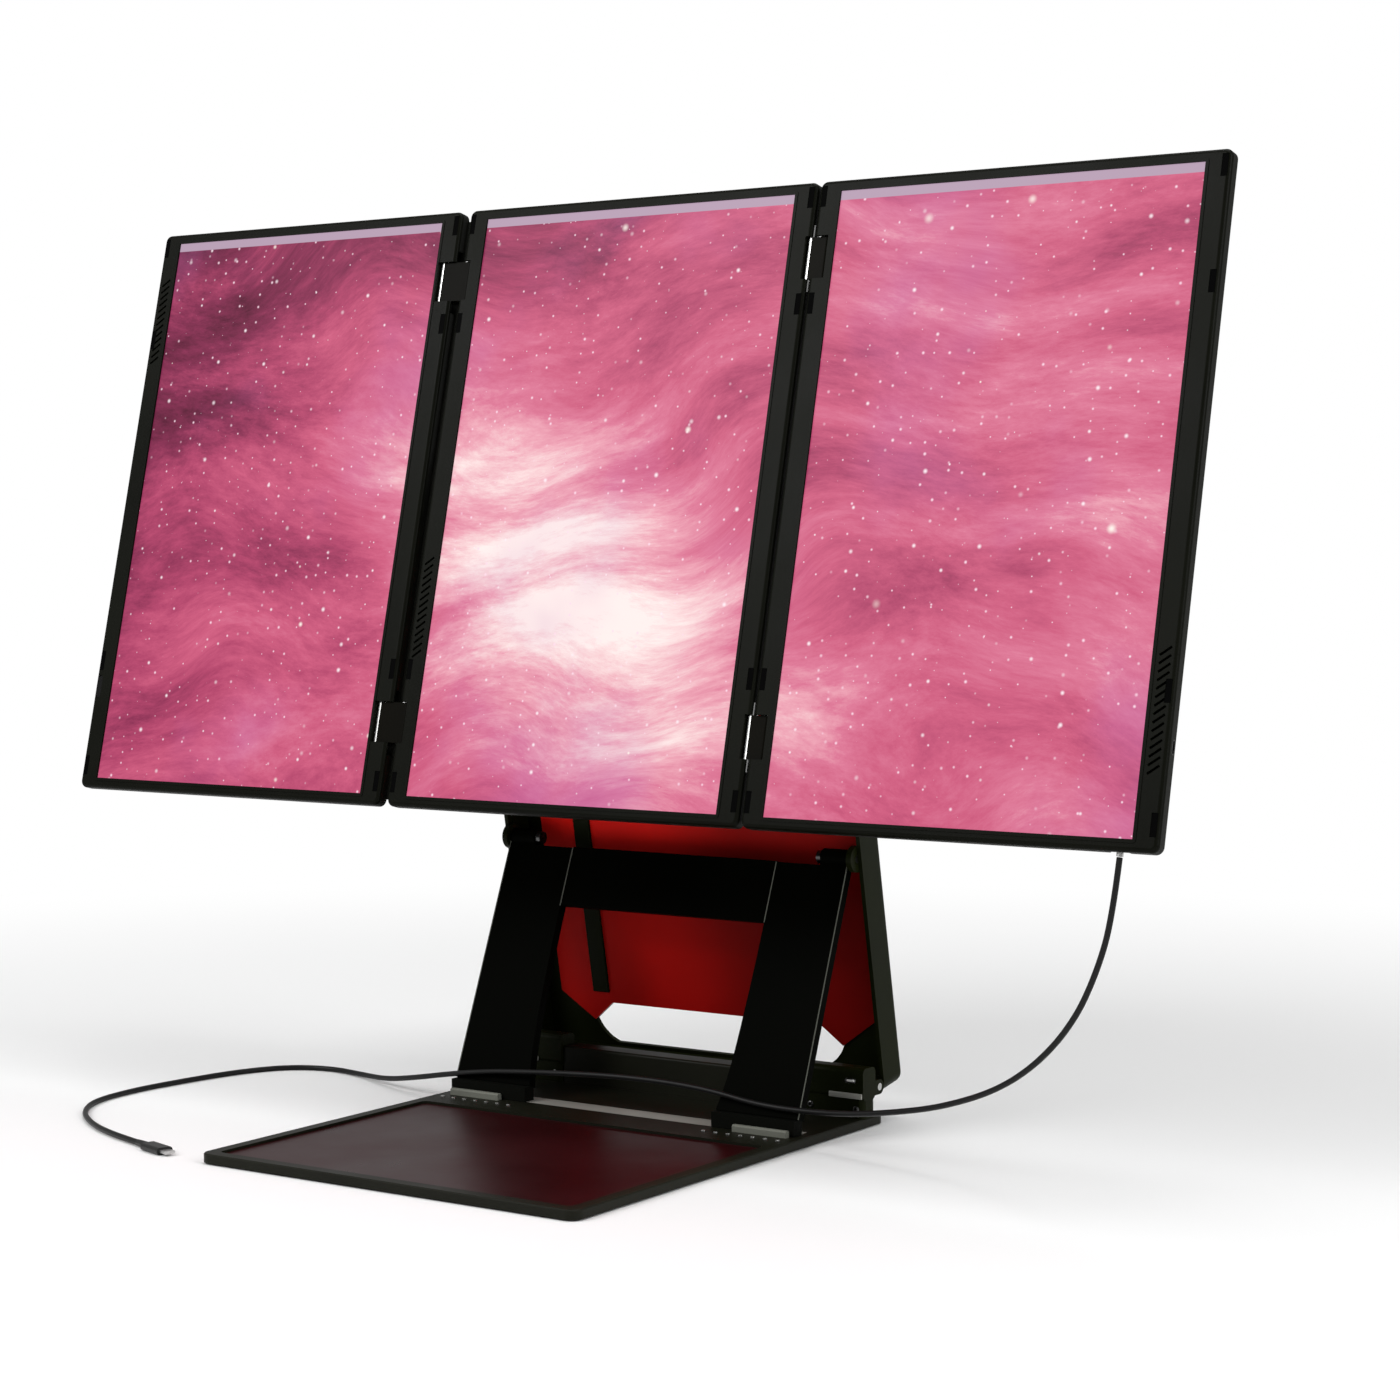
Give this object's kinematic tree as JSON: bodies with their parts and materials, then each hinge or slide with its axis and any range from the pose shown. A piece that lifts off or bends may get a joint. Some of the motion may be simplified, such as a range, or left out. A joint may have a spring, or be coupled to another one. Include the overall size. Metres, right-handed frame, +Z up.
{
  "type": "laptop screen extender",
  "caption": "Folding stand that holds portrait screens side by side above and behind a laptop, with hinged side screens and a data cable.",
  "frame": {"origin": "centre of the underside of the base's rubber strips, on the table", "axes": "+X to the user's right along the row of screens, +Y away from the user, +Z up"},
  "size_m": [0.8735, 0.3745, 0.626],
  "materials": {
    "black_plastic": "fine matt",
    "black_paint": "satin",
    "red_panel": "satin",
    "dark_red_liner": "matt",
    "rubber": "matt",
    "steel": "satin",
    "dark_link": "polished",
    "screen": "gloss",
    "display_metal": "satin",
    "board": "satin",
    "port_steel": "satin",
    "cable_jacket": "matt",
    "grey_stop": "matt",
    "pale_metal": "satin",
    "button_plastic": "satin"
  },
  "bodies": {
    "root": {"base_plate": "black_paint", "base_liner": "dark_red_liner", "foot_plate": "pale_metal", "base_rubber_strips": "rubber", "rear_riser": "black_paint", "hinge_box_left": "black_plastic", "hinge_box_right": "black_plastic", "hinge_box_port": "port_steel", "main_hinge_pins": "steel", "foot_stops": "grey_stop", "stop_rivets": "steel", "data_cable": "cable_jacket", "laptop_plug": "black_plastic"},
    "stand_shell": {"shell_tray": "black_plastic", "red_liner": "red_panel", "liner_cover_strip": "black_plastic", "top_beam": "black_paint", "tilt_pins": "steel", "leg_hinge_pins": "steel"},
    "leg_frame": {"leg_left": "black_paint", "leg_right": "black_paint", "leg_crossbar": "black_paint", "leg_foot_shoes": "rubber"},
    "middle_panel": {"tilt_bracket": "black_paint", "bracket_screws": "steel", "middle_bezel": "black_plastic", "middle_rear_cover": "black_plastic", "middle_screen": "screen", "middle_display_module": "display_metal", "middle_driver_board": "board", "middle_pads": "rubber", "middle_hinge_knuckles": "steel"},
    "left_panel": {"left_bezel": "black_plastic", "left_rear_cover": "black_plastic", "left_screen": "screen", "left_display_module": "display_metal", "left_driver_board": "board", "left_pads": "rubber", "left_hinge_knuckles": "steel"},
    "left_button": {"left_button": "button_plastic"},
    "middle_button": {"middle_button": "button_plastic"},
    "right_panel": {"right_bezel": "black_plastic", "right_rear_cover": "black_plastic", "right_screen": "screen", "right_display_module": "display_metal", "right_driver_board": "board", "right_pads": "rubber", "right_hinge_knuckles": "steel", "right_ports": "port_steel", "panel_plug": "black_plastic"},
    "right_button": {"right_button": "button_plastic"},
    "left_links": {"left_hinge_links": "dark_link", "left_link_pins": "steel"},
    "right_links": {"right_hinge_links": "dark_link", "right_link_pins": "steel"}
  },
  "joints": [
    {"name": "stand_lean", "type": "hinge", "parent": "root", "child": "stand_shell", "pos_m": [0, 0.1678, 0.026], "axis": [-1, 0, 0], "range_deg": [0, 10]},
    {"name": "leg_swing", "type": "hinge", "parent": "stand_shell", "child": "leg_frame", "pos_m": [0, 0.14482, 0.18224], "axis": [1, 0, 0], "range_deg": [0, 13]},
    {"name": "screen_tilt", "type": "hinge", "parent": "stand_shell", "child": "middle_panel", "pos_m": [0, 0.07208, 0.41646], "axis": [1, 0, 0], "range_deg": [-20, 20]},
    {"name": "right_link_swing", "type": "hinge", "parent": "middle_panel", "child": "right_links", "pos_m": [0.14265, 0.05846, 0.41973], "axis": [0, -0.2334, -0.9724], "range_deg": [0, 90]},
    {"name": "right_panel_swing", "type": "hinge", "parent": "right_links", "child": "right_panel", "pos_m": [0.15385, 0.05846, 0.41973], "axis": [0, -0.2334, -0.9724], "range_deg": [0, 90]},
    {"name": "left_link_swing", "type": "hinge", "parent": "middle_panel", "child": "left_links", "pos_m": [-0.1408, 0.05846, 0.41973], "axis": [0, 0.2334, 0.9724], "range_deg": [0, 90]},
    {"name": "left_panel_swing", "type": "hinge", "parent": "left_links", "child": "left_panel", "pos_m": [-0.1632, 0.05846, 0.41973], "axis": [0, 0.2334, 0.9724], "range_deg": [0, 90]},
    {"name": "left_button_press", "type": "slide", "parent": "left_panel", "child": "left_button", "axis": [0, 0.9724, -0.2334], "range_m": [0, 0.0006], "stiffness_N_per_m": 1500, "springref_m": -0.0004},
    {"name": "middle_button_press", "type": "slide", "parent": "middle_panel", "child": "middle_button", "axis": [0, -0.9724, 0.2334], "range_m": [0, 0.0006], "stiffness_N_per_m": 1500, "springref_m": -0.0004},
    {"name": "right_button_press", "type": "slide", "parent": "right_panel", "child": "right_button", "axis": [0, -0.9724, 0.2334], "range_m": [0, 0.0006], "stiffness_N_per_m": 1500, "springref_m": -0.0004}
  ],
  "couplings": [
    {"joint": "leg_swing", "follows": "stand_lean", "ratio": 1.14},
    {"joint": "right_link_swing", "follows": "right_panel_swing", "ratio": 1},
    {"joint": "left_link_swing", "follows": "left_panel_swing", "ratio": 1}
  ]
}
